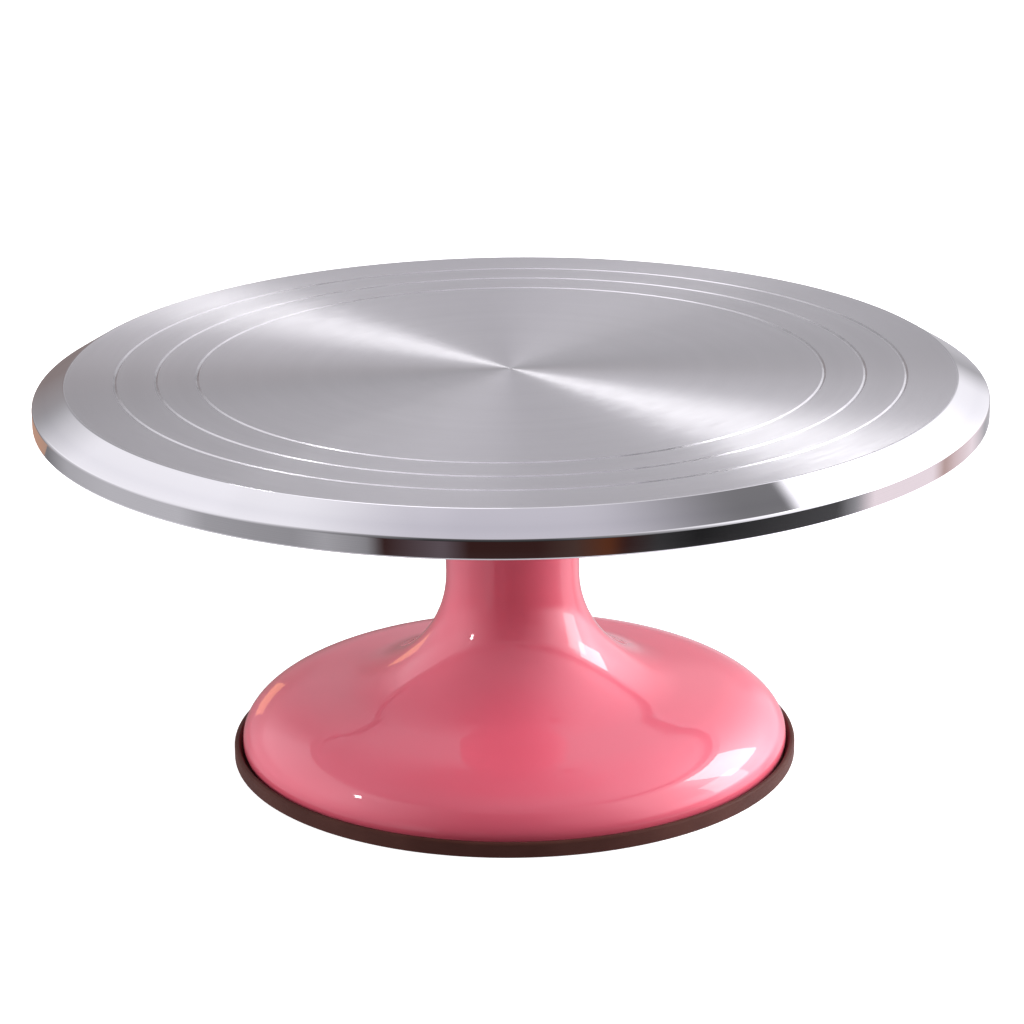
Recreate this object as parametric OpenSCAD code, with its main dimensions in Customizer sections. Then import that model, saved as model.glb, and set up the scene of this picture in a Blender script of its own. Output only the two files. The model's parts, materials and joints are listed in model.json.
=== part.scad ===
// Cake turntable: an aluminium plate with a spindle that turns in, and lifts out of, two ball
// bearings in the stem of a domed, painted base that stands on a rubber ring.
// Millimetres. The origin is the centre of the rubber ring's underside, and +Z is the spin axis.

/* [Plate] */
// Outside diameter of the plate
plate_d = 305; // [300:1:330]
// Height of the plate's top above the table
overall_h = 130; // [125:1:145]
// Thickness of the plate at its rim, from the top to the rim's underside
rim_t = 12.3; // [11:0.1:14]
// Thickness of the plate's web between the rim and the hub pad
web_t = 5; // [4:0.1:6]
// Thickness of the hub pad that the flange bolts to
pad_t = 9; // [8:0.1:10]
// Radius of the hub pad
pad_r = 44; // [43:1:50]
// Width of the sloping edge, measured along the radius
bevel_w = 10.2; // [6:0.1:12]
// How far the sloping edge drops
bevel_drop = 6.2; // [4:0.1:8]
// Width of the solid rim under the plate
rim_w = 12.5; // [10:0.5:16]
// Radius of the innermost guide ring
ring_first_r = 100; // [90:1:105]
// Radial distance from one guide ring to the next
ring_step = 13; // [10:1:14]
// Number of guide rings
ring_count = 3; // [1:1:3]
// Width of a guide ring's groove
ring_w = 1.4; // [0.8:0.1:1.8]
// Depth of a guide ring's groove
ring_depth = 0.25; // [0.1:0.05:0.4]

/* [Base] */
// Largest diameter of the domed base
base_d = 178.9; // [170:0.1:190]
// Diameter of the stem
stem_d = 43.5; // [43:0.1:48]
// Wall thickness of the base casting
wall_t = 4.3; // [4:0.1:4.3]
// Radial half-axis of the dome's rounded shoulder
shoulder_w = 32; // [28:0.5:36]
// Vertical half-axis of the dome's rounded shoulder
shoulder_h = 16.7; // [14:0.1:18]
// Height of the dome's widest circle
shoulder_z = 5.9; // [5:0.1:8]
// Slope of the dome between the shoulder and the fillet, in degrees
dome_slope = 9; // [5:1:14]
// Radial half-axis of the fillet between the dome and the stem
fillet_w = 41.5; // [38:0.5:44]
// Vertical half-axis of the fillet between the dome and the stem
fillet_h = 38.4; // [36:0.1:40]

/* [Rubber ring] */
// Outside diameter of the rubber ring
grip_d = 184.6; // [182:0.2:190]
// Height of the rubber ring's lips
grip_h = 5; // [4:0.5:6]
// Thickness of the rubber under the casting's edge
grip_floor_t = 2; // [1.5:0.1:2.5]

/* [Bearings] */
// Distance between the two bearings, centre to centre
bearing_spread = 42; // [38:1:44]

/* [Spindle and flange] */
// Radial clearance between the spindle and the bearings' bores
spindle_clearance = 0.02; // [0.01:0.01:0.05]
// Diameter of the spindle's collar
collar_d = 19; // [18:0.5:19]
// Diameter of the flange's disc
flange_d = 84; // [80:1:86]
// Thickness of the flange's disc
flange_t = 5; // [4:0.5:6]
// Diameter of the circle that the flange screws lie on
screw_circle_d = 62; // [56:1:64]
// Number of flange screws
screw_count = 4; // [3:1:6]

/* [Hidden] */
$fn = 128;
enamel_pink = [0.86, 0.44, 0.52];
rubber_brown = [0.24, 0.16, 0.15];

// Plate
plate_r = plate_d / 2;
plate_edge_break = 0.5;         // chamfer at the foot of the plate's rim
recess_draft = 2;               // how far the recess's wall leans outwards
pad_draft = 1.5;                // how far the hub pad's side leans outwards
centre_mark_r = 0.8;            // turning mark at the plate's centre
centre_mark_depth = 0.3;
ring_tool_r = (ring_w * ring_w / 4 + ring_depth * ring_depth) / (2 * ring_depth);
pad_z = overall_h - pad_t;

// Hub flange, spindle and screws
flange_r = flange_d / 2;
flange_z = pad_z - flange_t;
boss_r = 19;
boss_h = 3.6;                   // how far the flange's boss stands below its disc
boss_z = flange_z - boss_h;
fastener_edge = 0.4;
neck_r = 6;                     // spindle's neck, inside the flange
neck_h = boss_h;
collar_h = 5.4;
collar_z = boss_z - collar_h;   // underside of the collar, which rests on the upper bearing
spindle_tip = 1.5;
centre_screw_r = 3;
centre_head_r = 6;
centre_head_h = 3;
centre_screw_l = 21;
flange_screw_r = 2.5;
flange_hole_r = 2.75;
flange_head_r = 4.75;
flange_head_h = 2.8;
flange_screw_reach = 6;         // how far a flange screw goes into the hub pad
tapped_depth = 7;
washer_r = 4.4;
washer_t = 1.2;
washer_gap = 1.2;

// Bearings, 15 x 35 x 11, from the underside of the spindle's collar downwards
bearing_w = 11;
ball_count = 8;
ball_r = 5.953 / 2;
bearing_r = 7.5;
seat_r = 17.5;
spindle_r = bearing_r - spindle_clearance;
upper_z = collar_z - bearing_w / 2;
lower_z = upper_z - bearing_spread;
pitch_r = (bearing_r + seat_r) / 2;
ball_play = 0.02;               // gap between a ball and each raceway
raceway_r = ball_r * 1.04;
inner_shoulder_r = 10.65;
outer_shoulder_r = 14.35;
shield_seat_r = 15.3;
shield_seat_depth = 1.1;
shield_t = 0.4;
shield_inset = 0.2;
shield_gap = 0.35;              // between a shield and the inner ring
shield_lip = 0.6;
ring_chamfer = 0.5;
cage_t = 1;
cage_h = 7.4;
pocket_r = ball_r + 0.1;
spacer_clearance = 0.1;
spacer_t = 2;

// Circlips and the casting's bores
circlip_t = 1.5;
circlip_groove_w = 1.6;
circlip_groove_r = seat_r + 1;
circlip_r = seat_r + 0.9;
circlip_w = 2.4;
circlip_gap = 36;               // angle of the circlip's opening, in degrees
lug_r = 2.2;
lug_hole_r = 1;
lug_pos_r = circlip_r - circlip_w - 0.4;
relief_r = 15;                  // bore of the stem between the two bearings
upper_groove_z = upper_z + bearing_w / 2;
lower_groove_z = lower_z - bearing_w / 2 - circlip_groove_w;
seat_end_z = lower_groove_z - 3.4;
stem_top = upper_groove_z + circlip_groove_w + 1.4;
stem_edge = 1.2;

// Bearing cover and end plug
cover_hole_r = collar_d / 2 + 0.5;
cover_brim_r = 20.4;
cover_brim_t = 1;
cover_edge = 0.4;
plug_t = 2.4;
plug_wall_t = 1.6;

// Base casting: the shoulder is an ellipse, tangent to the sloping dome, and so is the fillet
base_r = base_d / 2;
stem_r = stem_d / 2;
shoulder_r = base_r - shoulder_w;
fillet_r = stem_r + fillet_w;
shoulder_end = atan2(shoulder_h, shoulder_w * tan(dome_slope));
fillet_end = atan2(fillet_h, fillet_w * tan(dome_slope));
dome_run = shoulder_r + shoulder_w * cos(shoulder_end) - fillet_r + fillet_w * cos(fillet_end);
dome_z = shoulder_z + shoulder_h * sin(shoulder_end);
fillet_z = dome_z + dome_run * tan(dome_slope) + fillet_h * sin(fillet_end);
foot_angle = asin((grip_floor_t - shoulder_z) / shoulder_h);
foot_r = shoulder_r + shoulder_w * cos(foot_angle);
foot_w = 3.5;
cavity_start = asin((fillet_z - seat_end_z) / (fillet_h + wall_t));

// Rubber ring
grip_r = grip_d / 2;
grip_gap = 0.4;                 // between the rubber and the casting's sides
grip_lip_t = 1.5;
grip_edge = 0.6;

// Points along an ellipse's arc, from angle a to angle b
function arc(cx, cy, rx, ry, a, b, n = 24) =
    [for (i = [0:n]) let (t = a + (b - a) * i / n) [cx + rx * cos(t), cy + ry * sin(t)]];

// Outline of the plate's half section
function plate_outline() = concat(
    [[0, overall_h - centre_mark_depth], [centre_mark_r, overall_h]],
    [for (i = [0:ring_count - 1], p = guide_groove(ring_first_r + i * ring_step)) p],
    [
        [plate_r - bevel_w, overall_h],
        [plate_r, overall_h - bevel_drop],
        [plate_r, overall_h - rim_t + plate_edge_break],
        [plate_r - plate_edge_break, overall_h - rim_t],
        [plate_r - rim_w, overall_h - rim_t],
        [plate_r - rim_w - recess_draft, overall_h - web_t],
        [pad_r + pad_draft, overall_h - web_t],
        [pad_r, pad_z],
        [0, pad_z]
    ]
);

// A guide ring's groove across the plate's top, cut with a round-nosed tool
function guide_groove(r) = let (
        half_angle = asin(ring_w / 2 / ring_tool_r),
        centre_z = overall_h + ring_tool_r - ring_depth
    )
    arc(r, centre_z, ring_tool_r, ring_tool_r, 270 - half_angle, 270 + half_angle, 6);

// A bearing seat with its circlip groove, from the mouth at z_mouth to the shoulder at z_shoulder
function seat_outline(z_mouth, z_groove_near, z_groove_far, z_shoulder) = [
    [seat_r, z_mouth], [seat_r, z_groove_near], [circlip_groove_r, z_groove_near],
    [circlip_groove_r, z_groove_far], [seat_r, z_groove_far], [seat_r, z_shoulder]
];

// Outline of the casting's half section: outside upwards, then down the bore and the cavity
function shell_outline() = concat(
    [[foot_r - foot_w, grip_floor_t]],
    arc(shoulder_r, shoulder_z, shoulder_w, shoulder_h, foot_angle, shoulder_end),
    arc(fillet_r, fillet_z, fillet_w, fillet_h, 180 + fillet_end, 180),
    arc(stem_r - stem_edge, stem_top - stem_edge, stem_edge, stem_edge, 0, 90, 6),
    seat_outline(stem_top, upper_groove_z + circlip_groove_w, upper_groove_z, upper_z - bearing_w / 2),
    [[relief_r, upper_z - bearing_w / 2], [relief_r, lower_z + bearing_w / 2]],
    reverse(seat_outline(seat_end_z, lower_groove_z, lower_groove_z + circlip_groove_w,
        lower_z + bearing_w / 2)),
    arc(fillet_r, fillet_z, fillet_w + wall_t, fillet_h + wall_t, 180 + cavity_start, 180 + fillet_end),
    arc(shoulder_r, shoulder_z, shoulder_w - wall_t, shoulder_h - wall_t, shoulder_end, 0)
);

function reverse(list) = [for (i = [len(list) - 1:-1:0]) list[i]];

// Copies the children round the spin axis
module around(count) {
    for (i = [0:count - 1]) rotate([0, 0, i * 360 / count]) children();
}

// A round bar of radius r from z to z + h, with both ends chamfered
module round_bar(r, z, h, edge) {
    rotate_extrude() polygon([
        [0, z], [r - edge, z], [r, z + edge], [r, z + h - edge], [r - edge, z + h], [0, z + h]
    ]);
}

// A ring of square section with its outer edges chamfered
module round_ring(r_in, r_out, z, h, edge) {
    rotate_extrude() polygon([
        [r_in, z], [r_out - edge, z], [r_out, z + edge], [r_out, z + h - edge],
        [r_out - edge, z + h], [r_in, z + h]
    ]);
}

module plate() {
    color("gainsboro") difference() {
        rotate_extrude() polygon(plate_outline());
        around(screw_count) translate([screw_circle_d / 2, 0, pad_z - 1])
            cylinder(r = flange_screw_r, h = tapped_depth + 1);
    }
}

module hub_flange() {
    head_z = pad_z - centre_head_h;
    color("silver") difference() {
        union() {
            round_bar(flange_r, flange_z, flange_t, 0.8);
            round_bar(boss_r, boss_z, boss_h + flange_t / 2, 0.8);
        }
        translate([0, 0, boss_z - 1]) cylinder(r = neck_r, h = neck_h + 1);
        translate([0, 0, boss_z]) cylinder(r = centre_screw_r + 0.2, h = boss_h + flange_t);
        translate([0, 0, head_z]) cylinder(r1 = centre_screw_r + 0.2, r2 = centre_head_r + 0.2,
            h = centre_head_h + 0.001);
        around(screw_count) translate([screw_circle_d / 2, 0, flange_z - 1])
            cylinder(r = flange_hole_r, h = flange_t + 2);
    }
}

module spindle() {
    tip_z = lower_z - bearing_w / 2 + 0.5;
    bore_z = pad_z - centre_screw_l - 2;
    color("lightsteelblue") rotate_extrude() polygon([
        [0, tip_z], [spindle_r - spindle_tip, tip_z], [spindle_r, tip_z + spindle_tip],
        [spindle_r, collar_z], [collar_d / 2, collar_z], [collar_d / 2, boss_z],
        [neck_r, boss_z], [neck_r, boss_z + neck_h], [centre_screw_r, boss_z + neck_h],
        [centre_screw_r, bore_z], [0, bore_z - centre_screw_r * tan(30)]
    ]);
}

module spindle_screw() {
    socket_r = 2.3;
    socket_depth = 2.2;
    color("dimgray") difference() {
        rotate_extrude() polygon([
            [0, pad_z - centre_screw_l], [centre_screw_r - fastener_edge, pad_z - centre_screw_l],
            [centre_screw_r, pad_z - centre_screw_l + fastener_edge],
            [centre_screw_r, pad_z - centre_head_h], [centre_head_r, pad_z], [0, pad_z]
        ]);
        translate([0, 0, pad_z - socket_depth]) cylinder(r = socket_r, h = socket_depth + 1, $fn = 6);
    }
}

// One flange screw along Z, its head below the flange and its spring washer between them
module flange_screw() {
    socket_r = 1.75;
    socket_depth = 1.8;
    head_top = flange_z - washer_t;
    head_edge_r = flange_head_r - 1.4;
    difference() {
        rotate_extrude() polygon(concat(
            [[0, head_top - flange_head_h]],
            arc(head_edge_r, head_top - 1, flange_head_r - head_edge_r, flange_head_h - 1, 270, 360, 8),
            [
                [flange_head_r, head_top], [flange_screw_r, head_top],
                [flange_screw_r, pad_z + flange_screw_reach - fastener_edge],
                [flange_screw_r - fastener_edge, pad_z + flange_screw_reach],
                [0, pad_z + flange_screw_reach]
            ]
        ));
        translate([0, 0, head_top - flange_head_h - 1])
            cylinder(r = socket_r, h = socket_depth + 1, $fn = 6);
    }
}

module flange_screws() {
    color("darkgray") around(screw_count) translate([screw_circle_d / 2, 0, 0]) flange_screw();
}

module spring_washers() {
    color("slategray") around(screw_count) translate([screw_circle_d / 2, 0, flange_z - washer_t])
        difference() {
            cylinder(r = washer_r, h = washer_t);
            translate([0, 0, -1]) cylinder(r = flange_hole_r, h = washer_t + 2);
            translate([0, -washer_gap / 2, -1]) cube([washer_r + 1, washer_gap, washer_t + 2]);
        }
}

module base_shell() {
    color(enamel_pink) rotate_extrude() polygon(shell_outline());
}

module rubber_ring() {
    lip_r = grip_r - grip_lip_t;
    inner_r = foot_r - foot_w - grip_gap;
    color(rubber_brown) rotate_extrude() polygon([
        [inner_r - grip_lip_t, grip_edge], [inner_r - grip_lip_t + grip_edge, 0],
        [grip_r - grip_edge, 0], [grip_r, grip_edge],
        [grip_r, grip_h - grip_edge], [grip_r - grip_edge, grip_h],
        [lip_r, grip_h], [foot_r + grip_gap, grip_floor_t],
        [inner_r, grip_floor_t], [inner_r, grip_h], [inner_r - grip_lip_t, grip_h]
    ]);
}

// Nylon cover in the stem's mouth, above the upper circlip
module bearing_cover() {
    plug_z = upper_groove_z + circlip_groove_w;
    brim_top = stem_top + cover_brim_t;
    color("dimgray") rotate_extrude() polygon([
        [cover_hole_r, plug_z], [seat_r, plug_z], [seat_r, stem_top], [cover_brim_r, stem_top],
        [cover_brim_r, brim_top - cover_edge], [cover_brim_r - cover_edge, brim_top],
        [cover_hole_r, brim_top]
    ]);
}

// Pressed cap that closes the bore below the lower circlip
module end_plug() {
    plug_top = lower_groove_z;
    color("dimgray") rotate_extrude() polygon([
        [0, plug_top - plug_wall_t], [seat_r - plug_wall_t, plug_top - plug_wall_t],
        [seat_r - plug_wall_t, plug_top - plug_t], [seat_r, plug_top - plug_t],
        [seat_r, plug_top], [0, plug_top]
    ]);
}

// Internal circlip, lying on z, with its two lugs either side of the opening
module circlip(z) {
    reach = circlip_r * 2;
    color("gray") translate([0, 0, z + (circlip_groove_w - circlip_t) / 2])
        linear_extrude(circlip_t) difference() {
            union() {
                difference() {
                    circle(r = circlip_r);
                    circle(r = circlip_r - circlip_w);
                    polygon([
                        [0, 0],
                        [reach * cos(circlip_gap / 2), reach * sin(circlip_gap / 2)],
                        [reach, 0],
                        [reach * cos(circlip_gap / 2), -reach * sin(circlip_gap / 2)]
                    ]);
                }
                for (side = [-1, 1]) rotate(side * circlip_gap / 2)
                    translate([lug_pos_r, side * lug_r / 2]) circle(r = lug_r);
            }
            for (side = [-1, 1]) rotate(side * circlip_gap / 2)
                translate([lug_pos_r, side * lug_r / 2]) circle(r = lug_hole_r);
        }
}

// The bearing's own parts are drawn about its centre, at height z

module outer_ring(z) {
    groove_r = pitch_r + ball_r + ball_play - raceway_r;
    half_w = bearing_w / 2;
    seat_z = half_w - shield_seat_depth;
    color("lightgray") translate([0, 0, z]) rotate_extrude() difference() {
        polygon([
            [shield_seat_r, -half_w], [seat_r - ring_chamfer, -half_w], [seat_r, ring_chamfer - half_w],
            [seat_r, half_w - ring_chamfer], [seat_r - ring_chamfer, half_w], [shield_seat_r, half_w],
            [shield_seat_r, seat_z], [outer_shoulder_r, seat_z],
            [outer_shoulder_r, -seat_z], [shield_seat_r, -seat_z]
        ]);
        translate([groove_r, 0]) circle(r = raceway_r);
    }
}

module inner_ring(z) {
    groove_r = pitch_r - ball_r - ball_play + raceway_r;
    half_w = bearing_w / 2;
    color("lightgray") translate([0, 0, z]) rotate_extrude() difference() {
        polygon([
            [bearing_r + ring_chamfer, -half_w], [inner_shoulder_r, -half_w],
            [inner_shoulder_r, half_w], [bearing_r + ring_chamfer, half_w],
            [bearing_r, half_w - ring_chamfer], [bearing_r, ring_chamfer - half_w]
        ]);
        translate([groove_r, 0]) circle(r = raceway_r);
    }
}

module balls(z) {
    color("white") translate([0, 0, z]) around(ball_count) translate([pitch_r, 0, 0]) sphere(r = ball_r);
}

module cage(z) {
    color("silver") translate([0, 0, z]) difference() {
        round_ring(pitch_r - cage_t / 2, pitch_r + cage_t / 2, -cage_h / 2, cage_h, 0.1);
        around(ball_count) translate([pitch_r - cage_t, 0, 0]) rotate([0, 90, 0])
            cylinder(r = pocket_r, h = 2 * cage_t);
    }
}

module shields(z) {
    face_z = bearing_w / 2 - shield_inset;
    rim_z = face_z - shield_t;
    seat_z = bearing_w / 2 - shield_seat_depth;
    color("silver") translate([0, 0, z]) for (side = [0, 1]) mirror([0, 0, side]) rotate_extrude()
        polygon([
            [inner_shoulder_r + shield_gap, rim_z], [shield_seat_r - shield_lip, rim_z],
            [shield_seat_r - shield_lip, seat_z], [shield_seat_r, seat_z],
            [shield_seat_r, face_z], [inner_shoulder_r + shield_gap, face_z]
        ]);
}

// Sleeve that keeps the two inner rings apart
module bearing_spacer() {
    spacer_z = lower_z + bearing_w / 2;
    color("lightslategray") round_ring(bearing_r + spacer_clearance,
        bearing_r + spacer_clearance + spacer_t, spacer_z, bearing_spread - bearing_w, 0.3);
}

plate();
hub_flange();
spindle();
spindle_screw();
flange_screws();
spring_washers();
base_shell();
rubber_ring();
bearing_cover();
end_plug();
circlip(upper_groove_z);  // upper_circlip
circlip(lower_groove_z);  // lower_circlip
outer_ring(upper_z);  // upper_outer_ring
inner_ring(upper_z);  // upper_inner_ring
balls(upper_z);  // upper_balls
cage(upper_z);  // upper_cage
shields(upper_z);  // upper_shields
outer_ring(lower_z);  // lower_outer_ring
inner_ring(lower_z);  // lower_inner_ring
balls(lower_z);  // lower_balls
cage(lower_z);  // lower_cage
shields(lower_z);  // lower_shields
bearing_spacer();
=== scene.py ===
"""Looks of the cake turntable: studio, camera, materials, and smooth turned pieces for its largest parts.
Metres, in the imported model's own frame: +Z is the spin axis and the surface it stands on is z = 0."""

import json
import math

import bmesh
import bpy
from mathutils import Matrix, Vector


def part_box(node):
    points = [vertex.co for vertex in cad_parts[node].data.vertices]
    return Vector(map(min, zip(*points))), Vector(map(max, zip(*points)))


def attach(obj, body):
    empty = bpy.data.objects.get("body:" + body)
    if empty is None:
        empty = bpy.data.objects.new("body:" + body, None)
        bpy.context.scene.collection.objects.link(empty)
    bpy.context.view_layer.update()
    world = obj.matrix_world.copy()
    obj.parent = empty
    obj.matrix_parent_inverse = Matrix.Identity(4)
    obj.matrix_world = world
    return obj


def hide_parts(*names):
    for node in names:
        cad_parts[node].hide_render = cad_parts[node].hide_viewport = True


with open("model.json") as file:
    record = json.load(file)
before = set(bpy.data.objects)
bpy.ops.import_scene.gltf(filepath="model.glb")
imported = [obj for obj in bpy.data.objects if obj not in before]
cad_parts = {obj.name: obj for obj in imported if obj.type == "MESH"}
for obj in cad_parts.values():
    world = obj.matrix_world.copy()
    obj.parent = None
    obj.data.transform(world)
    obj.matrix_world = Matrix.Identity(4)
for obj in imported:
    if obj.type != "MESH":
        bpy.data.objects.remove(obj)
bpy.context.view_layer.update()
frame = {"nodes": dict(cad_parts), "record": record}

MM = 0.001
UP = Vector((0, 0, 1))
WHITE = (1, 1, 1, 1)
COLOUR_A, COLOUR_B, COLOUR_RESULT = 6, 7, 2   # a Mix node's sockets for colours


# ---------------------------------------------------------------- node helpers

class Nodes:
    """A short way to build a node tree: new() makes a node, link() joins sockets."""

    def __init__(self, tree):
        self.tree = tree
        self.tree.nodes.clear()

    def new(self, kind, **settings):
        node = self.tree.nodes.new(kind)
        for name, value in settings.items():
            setattr(node, name, value)
        return node

    def link(self, source, target):
        self.tree.links.new(source, target)

    def put(self, target, value):
        """Links a socket, or sets a plain value, on the target socket."""
        if isinstance(value, bpy.types.NodeSocket):
            self.link(value, target)
        else:
            target.default_value = value

    def math(self, operation, a, b=0.0, c=0.0):
        node = self.new("ShaderNodeMath", operation=operation)
        for socket, value in zip(node.inputs, (a, b, c)):
            self.put(socket, value)
        return node.outputs[0]

    def vector(self, operation, a, b=(0, 0, 0)):
        node = self.new("ShaderNodeVectorMath", operation=operation)
        self.put(node.inputs[0], a)
        self.put(node.inputs["Scale" if operation == "SCALE" else 1], b)
        return node.outputs["Value" if operation == "LENGTH" else "Vector"]

    def split(self, vector):
        node = self.new("ShaderNodeSeparateXYZ")
        self.link(vector, node.inputs[0])
        return node.outputs

    def mix(self, factor, a, b):
        """Two colours mixed: a where the factor is 0, b where it is 1."""
        node = self.new("ShaderNodeMix", data_type="RGBA")
        self.put(node.inputs["Factor"], factor)
        self.put(node.inputs[COLOUR_A], a)
        self.put(node.inputs[COLOUR_B], b)
        return node.outputs[COLOUR_RESULT]

    def mix_shaders(self, factor, a, b):
        node = self.new("ShaderNodeMixShader")
        for socket, source in zip(node.inputs, (factor, a, b)):
            self.link(source, socket)
        return node.outputs[0]

    def ramp(self, factor, stops):
        """stops are (position, grey or colour) pairs."""
        node = self.new("ShaderNodeValToRGB")
        elements = node.color_ramp.elements
        while len(elements) < len(stops):
            elements.new(0.5)
        for element, (position, tone) in zip(elements, stops):
            element.position = position
            element.color = (*tone, 1) if hasattr(tone, "__len__") else (tone, tone, tone, 1)
        self.link(factor, node.inputs[0])
        return node.outputs[0]

    def smooth(self, value, low, high, out_low=0.0, out_high=1.0):
        node = self.new("ShaderNodeMapRange", interpolation_type="SMOOTHSTEP")
        for socket, number in zip(node.inputs, (value, low, high, out_low, out_high)):
            self.put(socket, number)
        return node.outputs[0]


# ---------------------------------------------------------------- camera

CAMERA_AT = Vector((0, -1.1376, 0.4593))
CAMERA_PITCH = math.radians(18.37)   # down from level
CAMERA_ROLL = math.radians(-0.64)
CAMERA_LENS = 130.1                  # mm
SENSOR_WIDTH = 36                    # mm


def make_camera():
    data = bpy.data.cameras.new("camera")
    data.lens = CAMERA_LENS
    data.sensor_width = SENSOR_WIDTH
    camera = bpy.data.objects.new("camera", data)
    bpy.context.collection.objects.link(camera)
    turn = Matrix.Rotation(math.pi / 2 - CAMERA_PITCH, 4, "X") @ Matrix.Rotation(CAMERA_ROLL, 4, "Z")
    camera.matrix_world = Matrix.Translation(CAMERA_AT) @ turn
    bpy.context.scene.camera = camera


# ---------------------------------------------------------------- room

BROWN = (0.035, 0.014, 0.012)
DUN = (0.25, 0.21, 0.195)
BLUSH = (0.88, 0.78, 0.78)
CAST = (1.0, 0.975, 1.035)         # the room's faint lavender cast
UNDERFOOT_TONE = (0.68, 0.64, 0.65, 1)
OVERHEAD_TONE = (0.58, 0.57, 0.60, 1)

# The surroundings, as (azimuth, tone) stops. Azimuth 0 is the front and 90 the right, in degrees.
BENEATH_TONES = [
    (-180, 1.30), (-165, 0.60), (-150, 0.45), (-110, 0.75), (-60, 0.60), (0, 0.55),
    (40, 0.90), (80, 1.90), (100, 2.50), (128, 2.60), (150, 1.90), (170, 1.40),
]
NEAR_TONES = [
    (-180, 0.50), (-165, 0.30), (-152, 0.28), (-136, 0.68), (-110, 0.90), (-80, 0.80), (-50, 0.35),
    (-20, 0.10), (20, 0.10), (40, 0.30), (60, 1.00), (80, 1.60), (110, 1.80), (140, 1.20),
]
TABLE_TONES = [
    (-180, DUN), (-172, DUN), (-160, DUN), (-152, DUN), (-145, 0.20), (-130, 0.42),
    (-110, 0.50), (-84, 0.50), (-76, 0.36), (-62, 0.32), (-52, 0.30), (-44, 0.38), (-34, 0.26),
    (-30, BROWN), (-16, (0.11, 0.087, 0.094)), (-10, BROWN), (6, BROWN), (14, (0.06, 0.035, 0.028)),
    (22, (0.10, 0.030, 0.012)), (26, BROWN), (34, 0.035), (44, 0.015), (60, 0.035), (82, 0.07),
    (88, 0.30), (94, BLUSH), (118, BLUSH), (124, (0.50, 0.36, 0.32)), (130, (0.70, 0.56, 0.54)),
    (142, BLUSH), (156, 0.44), (172, 0.56),
]
LOW_TONES = [
    (-180, 0.42), (-164, DUN), (-152, 0.36), (-142, 0.52), (-120, 0.63), (-90, 0.72), (-70, 0.54),
    (-50, 0.30), (-30, 0.12), (-20, 0.02), (20, 0.03), (30, 0.15), (40, 0.26), (50, 0.60), (60, 0.93),
    (72, 1.30), (82, 1.95), (90, 2.20), (124, 2.20), (138, 1.30), (150, 1.05), (158, 0.95),
    (163, 0.42), (174, 0.32),
]
MIDDLE_TONES = [
    (-180, 0.65), (-168, 0.40), (-158, 0.34), (-150, 0.60), (-144, 0.92), (-130, 0.95), (-100, 0.88),
    (-80, 0.85), (-60, 0.55), (-40, 0.25), (-20, 0.06), (10, 0.06), (20, 0.18), (40, 0.40), (50, 0.65),
    (60, 1.00), (80, 1.15), (88, 1.30), (96, 2.30), (124, 2.60), (132, 2.00), (140, 1.60),
    (150, 1.15), (160, 0.75), (170, 0.60),
]
HIGH_TONES = [
    (-180, 1.40), (-165, 2.00), (-148, 1.80), (-136, 0.90), (-100, 0.95), (-70, 0.60), (-40, 0.18),
    (10, 0.18), (40, 0.40), (60, 0.80), (90, 1.00), (106, 0.60), (118, 0.19), (134, 0.19),
    (150, 0.50), (170, 1.00),
]
# Each band takes over from the one below it between these two elevations, in degrees.
ROOM_BANDS = [
    (-78, -56, BENEATH_TONES), (-30, -24, NEAR_TONES), (-21.5, -19, TABLE_TONES),
    (-6, 2, LOW_TONES), (10, 20, MIDDLE_TONES), (52, 56, HIGH_TONES),
]
OVERHEAD_FROM, OVERHEAD_FULL = 60, 80


def room_tone(n):
    """The room's colour in each direction, as a socket."""
    x, y, z = n.split(n.new("ShaderNodeTexCoord").outputs["Generated"])
    azimuth = n.math("ARCTAN2", x, n.math("MULTIPLY", y, -1.0))
    turn = n.math("MULTIPLY_ADD", azimuth, 0.5 / math.pi, 0.5)
    elevation = n.math("MULTIPLY", n.math("ARCSINE", z), 180 / math.pi)
    room = UNDERFOOT_TONE
    for start, full, stops in ROOM_BANDS:
        band = n.ramp(turn, [((degrees + 180) / 360, tone) for degrees, tone in stops])
        room = n.mix(n.smooth(elevation, start, full), room, band)
    room = n.mix(n.smooth(elevation, OVERHEAD_FROM, OVERHEAD_FULL), room, OVERHEAD_TONE)
    return n.vector("MULTIPLY", room, CAST)


def make_world():
    """The room lights and is reflected. The camera itself sees a plain white backdrop."""
    world = bpy.data.worlds.new("studio")
    bpy.context.scene.world = world
    world.use_nodes = True
    n = Nodes(world.node_tree)
    room = n.new("ShaderNodeBackground")
    n.link(room_tone(n), room.inputs["Color"])
    backdrop = n.new("ShaderNodeBackground")
    backdrop.inputs["Color"].default_value = WHITE
    backdrop.inputs["Strength"].default_value = 1.0
    seen = n.new("ShaderNodeLightPath").outputs["Is Camera Ray"]
    mixed = n.mix_shaders(seen, room.outputs[0], backdrop.outputs[0])
    n.link(mixed, n.new("ShaderNodeOutputWorld").inputs[0])


# ---------------------------------------------------------------- lights and floor

STUDIO_CENTRE = Vector((0, 0, 0.08))
STAND_DISTANCE = 1.6
LAMP_AT = Vector((-0.1626, -0.0897, 0.1118))     # just past the plate's edge
LAMP_FACING = Vector((0.2, 0.5, -0.84))
CARD_AT = Vector((0.25, 0.12, 0.001))
WARM_SHELF_AT = Vector((-0.235, 0.417, 0.062))
WARM_SHELF_FACING = Vector((0.5, -1, 0))
WARM_TABLE_AT = Vector((-0.31, 0.38, 0.001))
ROSE = (1.0, 0.94, 0.96)
WARM = (1.0, 0.45, 0.18)
TAN = (1.0, 0.36, 0.06)

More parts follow.
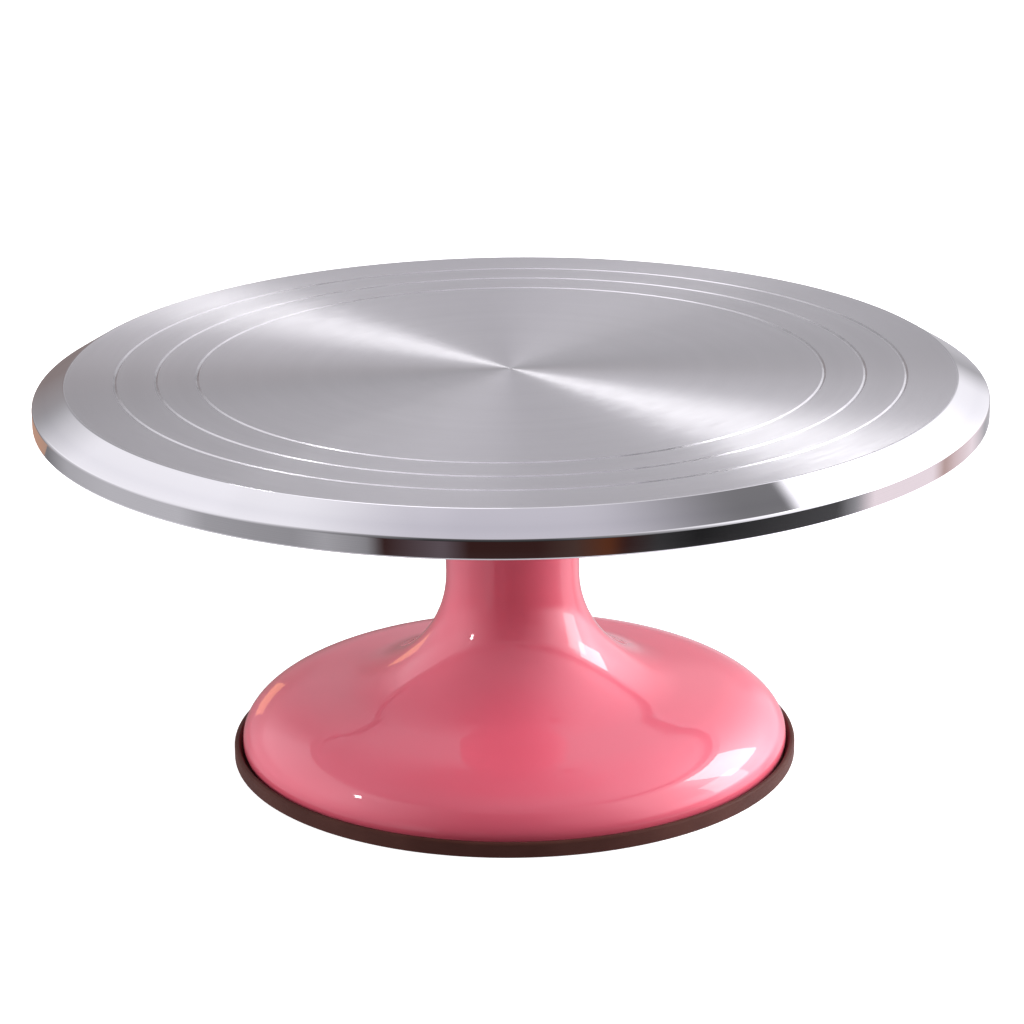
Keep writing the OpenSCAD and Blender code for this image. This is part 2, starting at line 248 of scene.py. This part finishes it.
FLOOR_RADIUS = 3.0
FLOOR_SEGMENTS = 96
FLOOR_TONE = (0.9, 0.9, 0.9, 1)
FLOOR_ROUGHNESS = 0.9
FLOOR_GLOW = 0.75


def direction(azimuth, elevation):
    a, e = math.radians(azimuth), math.radians(elevation)
    return Vector((math.sin(a) * math.cos(e), -math.cos(a) * math.cos(e), math.sin(e)))


def area_light(name, place, facing, width, height, strength, tone=(1, 1, 1), shine=True):
    """A flat light that shines one way. Without shine, its own highlight stays off every surface."""
    data = bpy.data.lights.new(name, "AREA")
    data.shape = "RECTANGLE"
    data.size = width
    data.size_y = height
    data.energy = strength * width * height * math.pi
    data.color = tone
    light = bpy.data.objects.new(name, data)
    bpy.context.collection.objects.link(light)
    light.matrix_world = Matrix.Translation(place) @ facing.to_track_quat("-Z", "Y").to_matrix().to_4x4()
    light.visible_camera = False
    light.visible_glossy = shine
    return light


def light_only(light, piece):
    """Keeps a small light off everything but one piece, as a flag beside the lamp does."""
    receivers = bpy.data.collections.new(light.name + "_receivers")
    receivers.objects.link(piece)
    light.light_linking.receiver_collection = receivers


def studio_light(name, azimuth, elevation, **settings):
    """A light on a stand, facing the turntable's middle."""
    away = direction(azimuth, elevation)
    area_light(name, STUDIO_CENTRE + away * STAND_DISTANCE, -away, **settings)


def make_lights(plate, shell):
    studio_light("softbox", 115, 35, width=0.72, height=1.00, strength=3.7)
    studio_light("softbox_skirt", 97, 13, width=0.62, height=0.74, strength=2.2)
    studio_light("strip_lamp", -131, 56, width=0.022, height=0.16, strength=14.0)
    studio_light("left_fill", -80, 15, width=0.90, height=0.60, strength=8.2, shine=False)
    studio_light("right_fill", 82, 20, width=0.90, height=0.80, strength=8.2, shine=False)
    card = area_light("bounce_card", CARD_AT, UP, 0.42, 0.40, strength=0.9, tone=ROSE, shine=False)
    lamp = area_light("small_lamp", LAMP_AT, LAMP_FACING, 0.014, 0.014, strength=16.0)
    shelf = area_light("warm_shelf", WARM_SHELF_AT, WARM_SHELF_FACING, 0.10, 0.07, strength=1.0, tone=WARM)
    table = area_light("warm_table", WARM_TABLE_AT, UP, 0.30, 0.22, strength=0.25, tone=TAN)
    for light, piece in ((card, shell), (lamp, shell), (shelf, shell), (table, plate)):
        light_only(light, piece)


def floor_material():
    """Plain white that glows a little. From below it is clear, so the underside can be looked at."""
    material = bpy.data.materials.new("floor_white")
    material.use_nodes = True
    n = Nodes(material.node_tree)
    shader = n.new("ShaderNodeBsdfPrincipled")
    shader.inputs["Base Color"].default_value = FLOOR_TONE
    shader.inputs["Roughness"].default_value = FLOOR_ROUGHNESS
    shader.inputs["Emission Color"].default_value = WHITE
    shader.inputs["Emission Strength"].default_value = FLOOR_GLOW
    backfacing = n.new("ShaderNodeNewGeometry").outputs["Backfacing"]
    clear = n.new("ShaderNodeBsdfTransparent")
    one_sided = n.mix_shaders(backfacing, shader.outputs[0], clear.outputs[0])
    n.link(one_sided, n.new("ShaderNodeOutputMaterial").inputs[0])
    return material


def make_floor():
    bm = bmesh.new()
    bmesh.ops.create_circle(bm, cap_ends=True, segments=FLOOR_SEGMENTS, radius=FLOOR_RADIUS)
    mesh = bpy.data.meshes.new("floor")
    bm.to_mesh(mesh)
    bm.free()
    floor = bpy.data.objects.new("floor", mesh)
    bpy.context.collection.objects.link(floor)
    floor.visible_glossy = False
    floor.visible_diffuse = False
    mesh.materials.append(floor_material())


# ---------------------------------------------------------------- turned shapes

SEGMENTS = 360
PLATE_SEGMENTS = 480
ON_AXIS = 1e-7                       # a point nearer the axis than this is on it
CORNER_STEP = math.radians(12)
LEAST_CORNER_STEPS = 2


def revolve_ring(bm, r, z, segments):
    """One outline point turned about Z: a ring of vertices, or a single one on the axis."""
    if r < ON_AXIS:
        return [bm.verts.new((0, 0, z))]
    angles = (2 * math.pi * i / segments for i in range(segments))
    return [bm.verts.new((r * math.cos(t), r * math.sin(t), z)) for t in angles]


def turned(name, outline, segments=SEGMENTS, closed=False):
    """A solid of revolution about Z from (r, z) points in metres, shaded smooth."""
    bm = bmesh.new()
    rings = [revolve_ring(bm, r, z, segments) for r, z in outline]
    pairs = list(zip(rings, rings[1:]))
    if closed:
        pairs.append((rings[-1], rings[0]))
    for low, high in pairs:
        for i in range(segments):
            j = (i + 1) % segments
            corners = [low[i % len(low)], low[j % len(low)], high[j % len(high)], high[i % len(high)]]
            unique = list(dict.fromkeys(corners))
            if len(unique) > 2:
                bm.faces.new(unique)
    bmesh.ops.recalc_face_normals(bm, faces=bm.faces)
    for face in bm.faces:
        face.smooth = True
    mesh = bpy.data.meshes.new(name)
    bm.to_mesh(mesh)
    bm.free()
    piece = bpy.data.objects.new(name, mesh)
    bpy.context.collection.objects.link(piece)
    return piece


def corner_arc(before, corner, after, radius):
    """The points of the arc that rounds one corner of an outline."""
    back = (before - corner).normalized()
    ahead = (after - corner).normalized()
    half = back.angle(ahead) / 2
    reach = radius / math.tan(half)
    centre = corner + (back + ahead).normalized() * radius / math.sin(half)
    start = corner + back * reach - centre
    end = corner + ahead * reach - centre
    steps = max(LEAST_CORNER_STEPS, math.ceil(start.angle(end) / CORNER_STEP))
    swings = (start.angle_signed(end) * k / steps for k in range(steps + 1))
    return [centre + Matrix.Rotation(-swing, 2) @ start for swing in swings]


def rounded(points, closed=True):
    """Rounds an outline's corners. points are (r, z) or (r, z, radius), in mm; returns (r, z) in metres."""
    outline = []
    count = len(points)
    for i, point in enumerate(points):
        corner = Vector(point[:2])
        radius = point[2] if len(point) > 2 else 0
        if radius == 0 or (not closed and i in (0, count - 1)):
            outline.append(corner)
        else:
            after = Vector(points[(i + 1) % count][:2])
            outline += corner_arc(Vector(points[i - 1][:2]), corner, after, radius)
    return [(p.x * MM, p.y * MM) for p in outline]


def weighted_normals(piece):
    """Keeps flat faces flat beside their rounded edges."""
    modifier = piece.modifiers.new("weighted_normals", "WEIGHTED_NORMAL")
    modifier.weight = 100
    modifier.keep_sharp = False


def faces_by_place(piece, materials, choose):
    """Gives each face the material whose index choose(r, z) returns, from the face's middle, in mm."""
    for material in materials:
        piece.data.materials.append(material)
    for face in piece.data.polygons:
        spots = [piece.data.vertices[i].co for i in face.vertices]
        r = sum(math.hypot(p.x, p.y) for p in spots) / len(spots) / MM
        z = sum(p.z for p in spots) / len(spots) / MM
        face.material_index = choose(r, z)


def faces_by_ring(piece, materials, switch):
    """The faces made from outline points before switch get the first material, and the rest the second."""
    for material in materials:
        piece.data.materials.append(material)
    for face in piece.data.polygons:
        face.material_index = 0 if face.index // SEGMENTS < switch else 1


def finish_piece(piece, body, slot, *nodes):
    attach(piece, body)
    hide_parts(*nodes)


# ---------------------------------------------------------------- materials

NOISE_LOW, NOISE_HIGH = 0.3, 0.7     # a noise seldom leaves this range
RADIAL = (1, 1, 0)                   # keeps the part of a vector that is across the axis

ENAMEL_DEEP = (0.83, 0.120, 0.182)
ENAMEL_LIGHT = (0.88, 0.138, 0.208)
PEEL = 0.05                          # how deep the orange peel is beside the casting's waves
TOP_DARK = (0.70, 0.693, 0.705)
TOP_LIGHT = (0.85, 0.842, 0.858)
STREAK_SHARE, COARSE_SHARE, PATCH_SHARE = 0.08, 0.06, 0.04
TOP_TONE_SPAN = 0.18                 # the three shares together
STREAKS_OUTWARD = 2.2                # how fast the streaks change along the radius, and round the axis
STREAKS_ROUND = 9.0
GRAIN_WANDER = 0.10
EDGE_SLANT = 1.7                     # about how many times wider than deep the sloping edge is


def shader_tree(name):
    """A new material: its Nodes, Principled shader, and object-space position in mm."""
    material = bpy.data.materials.new(name)
    material.use_nodes = True
    n = Nodes(material.node_tree)
    shader = n.new("ShaderNodeBsdfPrincipled")
    n.link(shader.outputs[0], n.new("ShaderNodeOutputMaterial").inputs[0])
    in_metres = n.new("ShaderNodeTexCoord").outputs["Object"]
    return material, n, shader, n.vector("MULTIPLY", in_metres, (1 / MM, 1 / MM, 1 / MM))


def noise(n, place, scale, detail=3.0):
    node = n.new("ShaderNodeTexNoise")
    n.put(node.inputs["Vector"], place)
    node.inputs["Scale"].default_value = scale
    node.inputs["Detail"].default_value = detail
    return node.outputs["Fac"]


def noise_1d(n, value, scale, detail=3.0):
    node = n.new("ShaderNodeTexNoise", noise_dimensions="1D")
    n.put(node.inputs["W"], value)
    node.inputs["Scale"].default_value = scale
    node.inputs["Detail"].default_value = detail
    return node.outputs["Fac"]


def colour(n, shader, pattern, dark, light):
    """The base colour goes from dark to light as a noise rises."""
    n.link(n.ramp(pattern, [(NOISE_LOW, dark), (NOISE_HIGH, light)]), shader.inputs["Base Color"])


def roughness(n, shader, pattern, low, high):
    """The roughness goes from low to high as a noise rises."""
    n.link(n.smooth(pattern, NOISE_LOW, NOISE_HIGH, low, high), shader.inputs["Roughness"])


def bump(n, shader, height, distance, strength=1.0, coat=False):
    node = n.new("ShaderNodeBump")
    node.inputs["Strength"].default_value = strength
    node.inputs["Distance"].default_value = distance
    n.link(height, node.inputs["Height"])
    n.link(node.outputs[0], shader.inputs["Normal"])
    if coat:
        n.link(node.outputs[0], shader.inputs["Coat Normal"])


def radius_of(n, place):
    return n.vector("LENGTH", n.vector("MULTIPLY", place, RADIAL))


def set_values(shader, **values):
    for name, value in values.items():
        shader.inputs[name.replace("_", " ").title().replace("Ior", "IOR")].default_value = value


def turning_streaks(n, outward, r):
    """Noise that is long around the axis and short along the radius."""
    turn = n.split(outward)
    streak_place = n.new("ShaderNodeCombineXYZ")
    n.put(streak_place.inputs[0], n.math("MULTIPLY", r, STREAKS_OUTWARD))
    n.put(streak_place.inputs[1], n.math("MULTIPLY", turn[0], STREAKS_ROUND))
    n.put(streak_place.inputs[2], n.math("MULTIPLY", turn[1], STREAKS_ROUND))
    return noise(n, streak_place.outputs[0], scale=1.0)


def turned_aluminium():
    """The plate's top: fine concentric tool marks, which fan the reflections out along the radius."""
    material, n, shader, place = shader_tree("turned_aluminium")
    r = radius_of(n, place)
    outward = n.vector("NORMALIZE", n.vector("MULTIPLY", place, RADIAL))
    around = n.vector("CROSS_PRODUCT", UP, outward)
    streaks = turning_streaks(n, outward, r)
    coarse = noise_1d(n, r, scale=0.12, detail=2.0)
    patch = noise(n, place, scale=0.02)
    tone = n.math("MULTIPLY", streaks, STREAK_SHARE)
    tone = n.math("ADD", tone, n.math("MULTIPLY", coarse, COARSE_SHARE))
    tone = n.math("ADD", tone, n.math("MULTIPLY", patch, PATCH_SHARE))
    n.link(n.ramp(tone, [(0.0, TOP_DARK), (TOP_TONE_SPAN, TOP_LIGHT)]), shader.inputs["Base Color"])
    roughness(n, shader, streaks, 0.28, 0.32)
    set_values(shader, metallic=1.0, anisotropic=1.0)
    wander = n.math("MULTIPLY", n.math("SUBTRACT", streaks, 0.5), GRAIN_WANDER)
    grain = n.vector("ADD", outward, n.vector("SCALE", around, wander))
    to_world = n.new("ShaderNodeVectorTransform", vector_type="VECTOR")
    to_world.convert_from = "OBJECT"
    to_world.convert_to = "WORLD"
    n.link(grain, to_world.inputs[0])
    n.link(to_world.outputs[0], shader.inputs["Tangent"])
    return material


def polished_edge():
    """The sloping edge and the rim: diamond-turned, almost a mirror."""
    material, n, shader, place = shader_tree("polished_edge")
    height = n.split(place)["Z"]
    across = n.math("ADD", radius_of(n, place), n.math("MULTIPLY", height, EDGE_SLANT))
    lines = noise_1d(n, across, scale=3.0, detail=4.0)
    colour(n, shader, lines, (0.86, 0.86, 0.88), (0.93, 0.93, 0.94))
    roughness(n, shader, lines, 0.03, 0.05)
    set_values(shader, metallic=1.0)
    bump(n, shader, lines, distance=0.00001, strength=0.08)
    return material


def groove_aluminium():
    """The guide rings' grooves: a pointed tool leaves them smoother than the top, with no grain."""
    material, n, shader, place = shader_tree("groove_aluminium")
    wear = noise(n, place, scale=0.15)
    colour(n, shader, wear, (0.75, 0.745, 0.76), (0.84, 0.835, 0.85))
    roughness(n, shader, wear, 0.17, 0.23)
    set_values(shader, metallic=1.0)
    return material


def machined_aluminium(name="machined_aluminium"):
    """The plate's underside and the flange: coarser turning, duller."""
    material, n, shader, place = shader_tree(name)
    marks = noise_1d(n, radius_of(n, place), scale=1.1)
    cloud = noise(n, place, scale=0.03, detail=4.0)
    tone = n.math("MULTIPLY_ADD", marks, 0.5, n.math("MULTIPLY", cloud, 0.5))
    colour(n, shader, tone, (0.52, 0.52, 0.54), (0.72, 0.72, 0.74))
    roughness(n, shader, tone, 0.38, 0.52)
    set_values(shader, metallic=1.0)
    bump(n, shader, marks, distance=0.0001, strength=0.35)
    return material


def pink_enamel(name, dullness, coat):
    """Stoved enamel with a trace of orange peel, over the slight waves of a casting."""
    material, n, shader, place = shader_tree(name)
    colour(n, shader, noise(n, place, scale=0.012, detail=2.0), ENAMEL_DEEP, ENAMEL_LIGHT)
    set_values(shader, roughness=dullness, coat_weight=coat, coat_roughness=0.03, coat_ior=1.75)
    peel = noise(n, place, scale=0.35, detail=2.0)
    waves = noise(n, place, scale=0.045, detail=0.0)
    bump(n, shader, n.math("MULTIPLY_ADD", peel, PEEL, waves), distance=0.00022, coat=True)
    return material


def brown_rubber():
    material, n, shader, place = shader_tree("brown_rubber")
    grain = noise(n, place, scale=1.6, detail=4.0)
    cloud = noise(n, place, scale=0.05)
    colour(n, shader, cloud, (0.066, 0.022, 0.017), (0.094, 0.035, 0.027))
    roughness(n, shader, grain, 0.50, 0.64)
    set_values(shader, specular_ior_level=0.14)
    bump(n, shader, grain, distance=0.00008, strength=0.4)
    return material


# name: dark and light colour, least and most roughness, and whether it shows turning marks
STEELS = {
    "ground_steel": ((0.50, 0.50, 0.52), (0.68, 0.68, 0.70), 0.14, 0.24, True),
    "black_oxide_steel": ((0.03, 0.03, 0.03), (0.06, 0.06, 0.065), 0.3, 0.45, False),
    "zinc_plated_steel": ((0.56, 0.57, 0.60), (0.74, 0.75, 0.78), 0.2, 0.34, False),
    "spring_steel": ((0.10, 0.10, 0.11), (0.19, 0.19, 0.20), 0.3, 0.45, False),
    "bearing_steel": ((0.55, 0.55, 0.57), (0.72, 0.72, 0.74), 0.10, 0.2, True),
    "polished_balls": ((0.74, 0.74, 0.76), (0.80, 0.80, 0.82), 0.03, 0.06, False),
    "pressed_steel": ((0.50, 0.50, 0.51), (0.62, 0.62, 0.63), 0.22, 0.36, False),
}


def steel(name, dark, light, low, high, turned_marks):
    material, n, shader, place = shader_tree(name)
    if turned_marks:
        marks = noise_1d(n, radius_of(n, place), scale=2.0)
    else:
        marks = noise(n, place, scale=0.8, detail=4.0)
    colour(n, shader, marks, dark, light)
    roughness(n, shader, marks, low, high)
    set_values(shader, metallic=1.0)
    bump(n, shader, marks, distance=0.00003, strength=0.2)
    return material


def black_nylon():
    material, n, shader, place = shader_tree("black_nylon")
    grain = noise(n, place, scale=2.0, detail=4.0)
    colour(n, shader, grain, (0.012, 0.012, 0.013), (0.024, 0.024, 0.026))
    roughness(n, shader, grain, 0.40, 0.55)
    bump(n, shader, grain, distance=0.00005, strength=0.3)
    return material


# ---------------------------------------------------------------- plate, in mm

PLATE_LOW, PLATE_HIGH = (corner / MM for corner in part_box("plate"))
PLATE_R = PLATE_HIGH.x
PLATE_TOP = PLATE_HIGH.z
RIM_FOOT = PLATE_LOW.z
CENTRE_MARK_R = 0.8
CENTRE_MARK_DEPTH = 0.3
CENTRE_MARK_EDGE = 0.2
GUIDE_RINGS = [100.0, 113.0, 126.0]
GUIDE_W = 1.2
GUIDE_DEPTH = 0.35
GUIDE_EDGE = 0.08
BEVEL_W = 10.2
BEVEL_DROP = 6.2
EDGE_R = 1.2
RIM_W = 12.5
RIM_FOOT_EDGE = 0.6
RIM_FOOT_INNER_EDGE = 0.8
WEB_T = 5.0
RECESS_DRAFT = 2.0
RECESS_CORNER = 1.5
PAD_T = 9.0
PAD_R = 44.0
PAD_DRAFT = 1.5
PAD_CORNER = 1.2
PAD_EDGE = 0.6

TOP_FACES, EDGE_FACES, UNDER_FACES, GROOVE_FACES = range(4)
SKIN = 1.0                           # faces within this of the top belong to it
EDGE_EASE = 0.3                      # where the polish starts, ahead of a corner


def guide_groove(r):
    return [
        (r - GUIDE_W / 2, PLATE_TOP, GUIDE_EDGE),
        (r, PLATE_TOP - GUIDE_DEPTH, GUIDE_EDGE),
        (r + GUIDE_W / 2, PLATE_TOP, GUIDE_EDGE),
    ]


def plate_outline():
    """From the centre of the top, over the rim, to the centre of the underside."""
    top = [(0, PLATE_TOP - CENTRE_MARK_DEPTH), (CENTRE_MARK_R, PLATE_TOP, CENTRE_MARK_EDGE)]
    for r in GUIDE_RINGS:
        top += guide_groove(r)
    side = [
        (PLATE_R - BEVEL_W, PLATE_TOP, EDGE_R),
        (PLATE_R, PLATE_TOP - BEVEL_DROP, EDGE_R),
        (PLATE_R, RIM_FOOT, RIM_FOOT_EDGE),
    ]
    under = [
        (PLATE_R - RIM_W, RIM_FOOT, RIM_FOOT_INNER_EDGE),
        (PLATE_R - RIM_W - RECESS_DRAFT, PLATE_TOP - WEB_T, RECESS_CORNER),
        (PAD_R + PAD_DRAFT, PLATE_TOP - WEB_T, PAD_CORNER),
        (PAD_R, PLATE_TOP - PAD_T, PAD_EDGE),
        (0, PLATE_TOP - PAD_T),
    ]
    return rounded(top + side + under, closed=False)


def plate_finish(r, z):
    """Which finish a face of the plate at (r, z) has."""
    edge_start = PLATE_R - BEVEL_W - EDGE_EASE
    on_top = z > PLATE_TOP - SKIN
    if on_top and any(abs(r - ring) < GUIDE_W / 2 for ring in GUIDE_RINGS):
        return GROOVE_FACES
    if r > edge_start and z > RIM_FOOT + EDGE_EASE:
        return EDGE_FACES
    return TOP_FACES if on_top and r < edge_start + SKIN else UNDER_FACES


def make_plate():
    plate = turned("turned_plate", plate_outline(), PLATE_SEGMENTS)
    finishes = [turned_aluminium(), polished_edge(), machined_aluminium(), groove_aluminium()]
    faces_by_place(plate, finishes, plate_finish)
    weighted_normals(plate)
    finish_piece(plate, "turntable", "turned_aluminium", "plate")
    return plate


# ---------------------------------------------------------------- base, in mm

SHELL_LOW, SHELL_HIGH = (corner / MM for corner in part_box("base_shell"))
STEM_TOP = SHELL_HIGH.z
FOOT_Z = SHELL_LOW.z
FOOT_W = 3.5
BASE_R = 89.45
STEM_R = 21.75
STEM_EDGE = 1.2
WALL_T = 4.3
BORE_R = 17.5
SEAT_MARGIN = 1.0                     # how far the bore goes on below the end plug
SHOULDER = Vector((32.0, 16.7))       # half-axes of the shoulder's ellipse: radial, upright
SHOULDER_Z = 5.9
SHOULDER_AT = Vector((BASE_R - SHOULDER.x, SHOULDER_Z))
DOME_SLOPE = math.tan(math.radians(9))
FILLET = Vector((41.5, 38.4))         # half-axes of the fillet's ellipse

# How many steps each stretch of the outline is drawn in
SHOULDER_STEPS = 40
FILLET_STEPS = 48
STEM_EDGE_STEPS = 6
FILLET_INSIDE_STEPS = 40
SHOULDER_INSIDE_STEPS = 32

LIP_T = 1.5
RUBBER_SEAT_OUT = 89.0
RUBBER_SEAT_IN = 84.7
RUBBER_FOOT_EDGE = 0.6
RUBBER_RIM_EDGE = 1.0
RUBBER_SEAT_EDGE = 0.3
RUBBER_LIP_EDGE = 0.4


def ellipse_arc(centre, half_axes, start, end, count):
    return [
        (centre.x + half_axes.x * math.cos(t), centre.y + half_axes.y * math.sin(t))
        for t in (start + (end - start) * i / count for i in range(count + 1))
    ]


def shell_outline():
    """The casting's outside and the rest of it, as two lists of points in mm.
    Dome and fillet are two ellipses, each tangent to the sloping stretch between them."""
    shoulder_end = math.atan2(SHOULDER.y, SHOULDER.x * DOME_SLOPE)
    fillet_end = math.atan2(FILLET.y, FILLET.x * DOME_SLOPE)
    fillet_r = STEM_R + FILLET.x
    run = SHOULDER_AT.x + SHOULDER.x * math.cos(shoulder_end)
    run += FILLET.x * math.cos(fillet_end) - fillet_r
    rise = SHOULDER.y * math.sin(shoulder_end) + run * DOME_SLOPE + FILLET.y * math.sin(fillet_end)
    fillet_z = SHOULDER_Z + rise
    fillet_at = Vector((fillet_r, fillet_z))
    stem_edge = Vector((STEM_EDGE, STEM_EDGE))
    stem_edge_at = Vector((STEM_R - STEM_EDGE, STEM_TOP - STEM_EDGE))
    foot_angle = math.asin((FOOT_Z - SHOULDER_Z) / SHOULDER.y)
    foot_r = SHOULDER_AT.x + SHOULDER.x * math.cos(foot_angle)
    outside = ellipse_arc(SHOULDER_AT, SHOULDER, foot_angle, shoulder_end, SHOULDER_STEPS)
    outside += ellipse_arc(fillet_at, FILLET, math.pi + fillet_end, math.pi, FILLET_STEPS)
    outside += ellipse_arc(stem_edge_at, stem_edge, 0, math.pi / 2, STEM_EDGE_STEPS)

    wall = Vector((WALL_T, WALL_T))
    seat_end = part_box("end_plug")[0].z / MM - SEAT_MARGIN
    cavity_start = math.pi + math.asin((fillet_z - seat_end) / (FILLET.y + WALL_T))
    cavity_end = math.pi + fillet_end
    inside = [(BORE_R, STEM_TOP), (BORE_R, seat_end)]
    inside += ellipse_arc(fillet_at, FILLET + wall, cavity_start, cavity_end, FILLET_INSIDE_STEPS)
    inside += ellipse_arc(SHOULDER_AT, SHOULDER - wall, shoulder_end, 0, SHOULDER_INSIDE_STEPS)
    inside.append((foot_r - FOOT_W, FOOT_Z))
    return outside, inside


def make_shell():
    outside, inside = shell_outline()
    outline = [(r * MM, z * MM) for r, z in outside + inside]
    shell = turned("enamelled_base", outline, closed=True)
    glossy = pink_enamel("pink_enamel", dullness=0.45, coat=1.0)
    matt = pink_enamel("enamel_inside", dullness=0.6, coat=0.3)
    faces_by_ring(shell, [glossy, matt], len(outside))
    finish_piece(shell, "base", "pink_enamel", "base_shell")
    return shell


def make_rubber_ring():
    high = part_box("rubber_ring")[1] / MM
    inner, outer = RUBBER_SEAT_IN - LIP_T, high.x
    ring = turned("moulded_ring", rounded([
        (inner, 0, RUBBER_FOOT_EDGE), (outer, 0, RUBBER_FOOT_EDGE),
        (outer, high.z, RUBBER_RIM_EDGE), (outer - LIP_T, high.z, RUBBER_SEAT_EDGE),
        (RUBBER_SEAT_OUT, FOOT_Z, RUBBER_SEAT_EDGE), (RUBBER_SEAT_IN, FOOT_Z, RUBBER_SEAT_EDGE),
        (RUBBER_SEAT_IN, high.z, RUBBER_LIP_EDGE), (inner, high.z, RUBBER_FOOT_EDGE),
    ]), closed=True)
    ring.data.materials.append(brown_rubber())
    weighted_normals(ring)
    finish_piece(ring, "base", "brown_rubber", "rubber_ring")


# ---------------------------------------------------------------- the other CAD nodes

def dress_cad_nodes():
    """The nodes that no turned piece stands for keep their shape and get their own finishes."""
    finishes = {"machined_aluminium": machined_aluminium("flange_aluminium")}
    finishes.update((name, steel(name, *looks)) for name, looks in STEELS.items())
    finishes["black_nylon"] = black_nylon()
    slots = {part["node"]: part["material_slot"] for part in frame["record"]["subparts"]}
    for name, node in frame["nodes"].items():
        if slots[name] not in finishes:
            continue
        node.data.materials.clear()
        node.data.materials.append(finishes[slots[name]])


# ---------------------------------------------------------------- the scene

make_camera()
make_world()
make_floor()
turned_plate = make_plate()
enamelled_base = make_shell()
make_lights(turned_plate, enamelled_base)
make_rubber_ring()
dress_cad_nodes()

bpy.context.scene.view_settings.view_transform = "Standard"
